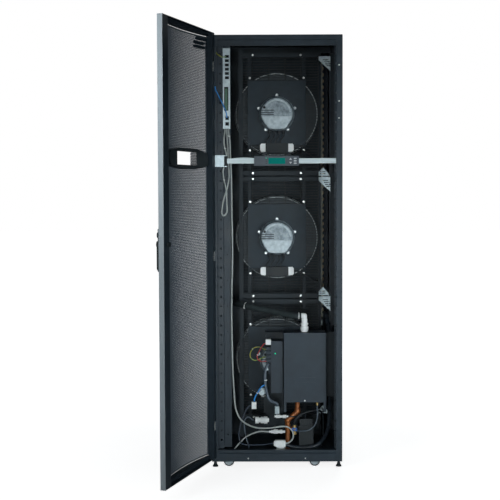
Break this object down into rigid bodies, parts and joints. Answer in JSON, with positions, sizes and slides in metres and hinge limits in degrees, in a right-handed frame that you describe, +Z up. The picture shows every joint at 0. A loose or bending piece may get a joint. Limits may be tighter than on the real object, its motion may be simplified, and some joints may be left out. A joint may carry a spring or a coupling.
{
  "type": "in row cooling unit",
  "caption": "Floor-standing in row cooling unit with an open perforated front door, fans behind wire guards, a swing-out display, a fin coil and a steam humidifier",
  "frame": {"origin": "On the floor, at the middle of the frame's width and depth (doors left out)", "axes": "+X right as seen from the front, +Y from the front to the back, +Z up"},
  "size_m": [0.8027, 1.5953, 1.991],
  "materials": {
    "black_powder_coat": "satin powder coat",
    "grey_bulkhead": "satin powder coat",
    "galvanised_sheet": "bare zinc-coated sheet",
    "castor_plastic": "grey hub in a black tyre",
    "foot_rubber": "matt",
    "guard_wire": "gloss black coating",
    "motor_aluminium": "cast, clear coated",
    "impeller_aluminium": "bare sheet",
    "terminal_plastic": "dark grey with pale ends",
    "fin_aluminium": "thin fins",
    "copper_tube": "bare copper",
    "filter_medium": "pleated medium in a grey frame",
    "humidifier_housing": "satin powder coat",
    "white_plastic": "moulded",
    "pump_plastic": "moulded",
    "blue_plastic": "moulded",
    "black_hose": "matt",
    "grey_cable_jacket": "soft jacket",
    "trim_aluminium": "satin anodised",
    "perforated_sheet": "satin powder coat, finely perforated",
    "shroud_plastic": "fine texture",
    "handle_plastic": "satin",
    "display_plastic": "slate grey with a green screen",
    "key_rubber": "pale grey"
  },
  "bodies": {
    "cabinet": {"frame": "black_powder_coat", "mounting_rails": "black_powder_coat", "side_panel_left": "black_powder_coat", "side_panel_right": "black_powder_coat", "roof_panel": "black_powder_coat", "base_tray": "black_powder_coat", "castor_mounts": "galvanised_sheet", "levelling_feet": "foot_rubber", "fan_deck": "grey_bulkhead", "fan_rails": "grey_bulkhead", "fan_guard_1": "guard_wire", "fan_guard_2": "guard_wire", "fan_guard_3": "guard_wire", "motor_plates": "grey_bulkhead", "fan_motor_1": "motor_aluminium", "fan_motor_2": "motor_aluminium", "fan_motor_3": "motor_aluminium", "fan_connectors": "terminal_plastic", "coil_fins": "fin_aluminium", "coil_tubes": "copper_tube", "coil_gussets": "galvanised_sheet", "drip_tray": "galvanised_sheet", "air_filters": "filter_medium", "controller": "galvanised_sheet", "service_plate": "grey_bulkhead", "humidifier": "humidifier_housing", "power_box": "humidifier_housing", "water_pipes": "copper_tube", "couplings": "white_plastic", "condensate_pump": "pump_plastic", "hoses": "black_hose", "leads": "black_hose", "grey_cable": "grey_cable_jacket", "grey_hank": "grey_cable_jacket", "arm_bracket": "galvanised_sheet", "fasteners": "galvanised_sheet"},
    "front_door_leaf": {"front_door": "black_powder_coat", "door_edge_trim": "trim_aluminium", "door_mesh": "perforated_sheet", "display_shroud": "shroud_plastic"},
    "front_latch": {"front_handle": "handle_plastic"},
    "display_unit": {"display_arm": "galvanised_sheet", "display_case": "display_plastic"},
    "rear_door_leaf": {"rear_door": "black_powder_coat"},
    "rear_latch": {"rear_handle": "handle_plastic"},
    "valve_lever": {"valve_handle": "blue_plastic"},
    "swivel_left": {"swivel_front_left": "galvanised_sheet"},
    "swivel_right": {"swivel_front_right": "galvanised_sheet"},
    "castor_wheel_front_left": {"wheel_front_left": "castor_plastic"},
    "castor_wheel_front_right": {"wheel_front_right": "castor_plastic"},
    "castor_wheel_rear_left": {"wheel_rear_left": "castor_plastic"},
    "castor_wheel_rear_right": {"wheel_rear_right": "castor_plastic"},
    "fan_rotor_1": {"impeller_1": "impeller_aluminium"},
    "fan_rotor_2": {"impeller_2": "impeller_aluminium"},
    "fan_rotor_3": {"impeller_3": "impeller_aluminium"},
    "key_up_button": {"key_up": "key_rubber"},
    "key_down_button": {"key_down": "key_rubber"},
    "key_escape_button": {"key_escape": "key_rubber"},
    "key_help_button": {"key_help": "key_rubber"},
    "key_enter_button": {"key_enter": "key_rubber"}
  },
  "joints": [
    {"name": "front_door_hinge", "type": "hinge", "parent": "cabinet", "child": "front_door_leaf", "pos_m": [-0.291, -0.515, 0], "axis": [0, 0, 1], "range_deg": [-7.6, 108.4]},
    {"name": "front_handle_turn", "type": "hinge", "parent": "front_door_leaf", "child": "front_latch", "pos_m": [-0.4894, -1.0276, 1.061], "axis": [-0.9489, 0.3156, 0], "range_deg": [0, 90]},
    {"name": "rear_door_hinge", "type": "hinge", "parent": "cabinet", "child": "rear_door_leaf", "pos_m": [-0.295, 0.5062, 0], "axis": [0, 0, 1], "range_deg": [0, 120]},
    {"name": "rear_handle_turn", "type": "hinge", "parent": "rear_door_leaf", "child": "rear_latch", "pos_m": [0.262, 0.5112, 1.061], "axis": [0, 1, 0], "range_deg": [0, 90]},
    {"name": "display_arm_hinge", "type": "hinge", "parent": "cabinet", "child": "display_unit", "pos_m": [-0.231, -0.485, 0], "axis": [0, 0, 1], "range_deg": [-85, 0]},
    {"name": "valve_turn", "type": "hinge", "parent": "cabinet", "child": "valve_lever", "pos_m": [0.083, -0.421, 0.166], "axis": [0, -1, 0], "range_deg": [0, 90]},
    {"name": "swivel_left_turn", "type": "hinge", "parent": "cabinet", "child": "swivel_left", "pos_m": [-0.1995, -0.445, 0.055], "axis": [0, 0, 1], "continuous": true},
    {"name": "wheel_front_left_turn", "type": "hinge", "parent": "swivel_left", "child": "castor_wheel_front_left", "pos_m": [-0.223, -0.445, 0.0245], "axis": [0, 1, 0], "continuous": true},
    {"name": "wheel_rear_left_turn", "type": "hinge", "parent": "cabinet", "child": "castor_wheel_rear_left", "pos_m": [-0.1995, 0.445, 0.0245], "axis": [1, 0, 0], "continuous": true},
    {"name": "swivel_right_turn", "type": "hinge", "parent": "cabinet", "child": "swivel_right", "pos_m": [0.1995, -0.445, 0.055], "axis": [0, 0, 1], "continuous": true},
    {"name": "wheel_front_right_turn", "type": "hinge", "parent": "swivel_right", "child": "castor_wheel_front_right", "pos_m": [0.176, -0.445, 0.0245], "axis": [0, 1, 0], "continuous": true},
    {"name": "wheel_rear_right_turn", "type": "hinge", "parent": "cabinet", "child": "castor_wheel_rear_right", "pos_m": [0.1995, 0.445, 0.0245], "axis": [1, 0, 0], "continuous": true},
    {"name": "fan_1_turn", "type": "hinge", "parent": "cabinet", "child": "fan_rotor_1", "pos_m": [0.007, -0.191, 1.646], "axis": [0, 1, 0], "continuous": true},
    {"name": "fan_2_turn", "type": "hinge", "parent": "cabinet", "child": "fan_rotor_2", "pos_m": [0.007, -0.191, 1.054], "axis": [0, 1, 0], "continuous": true},
    {"name": "fan_3_turn", "type": "hinge", "parent": "cabinet", "child": "fan_rotor_3", "pos_m": [0.007, -0.191, 0.462], "axis": [0, 1, 0], "continuous": true},
    {"name": "key_up_press", "type": "slide", "parent": "display_unit", "child": "key_up_button", "axis": [0, 1, 0], "range_m": [0, 0.0012], "stiffness_N_per_m": 300, "springref_m": -0.0005},
    {"name": "key_down_press", "type": "slide", "parent": "display_unit", "child": "key_down_button", "axis": [0, 1, 0], "range_m": [0, 0.0012], "stiffness_N_per_m": 300, "springref_m": -0.0005},
    {"name": "key_escape_press", "type": "slide", "parent": "display_unit", "child": "key_escape_button", "axis": [0, 1, 0], "range_m": [0, 0.0012], "stiffness_N_per_m": 300, "springref_m": -0.0005},
    {"name": "key_help_press", "type": "slide", "parent": "display_unit", "child": "key_help_button", "axis": [0, 1, 0], "range_m": [0, 0.0012], "stiffness_N_per_m": 300, "springref_m": -0.0005},
    {"name": "key_enter_press", "type": "slide", "parent": "display_unit", "child": "key_enter_button", "axis": [0, 1, 0], "range_m": [0, 0.0012], "stiffness_N_per_m": 300, "springref_m": -0.0005}
  ]
}
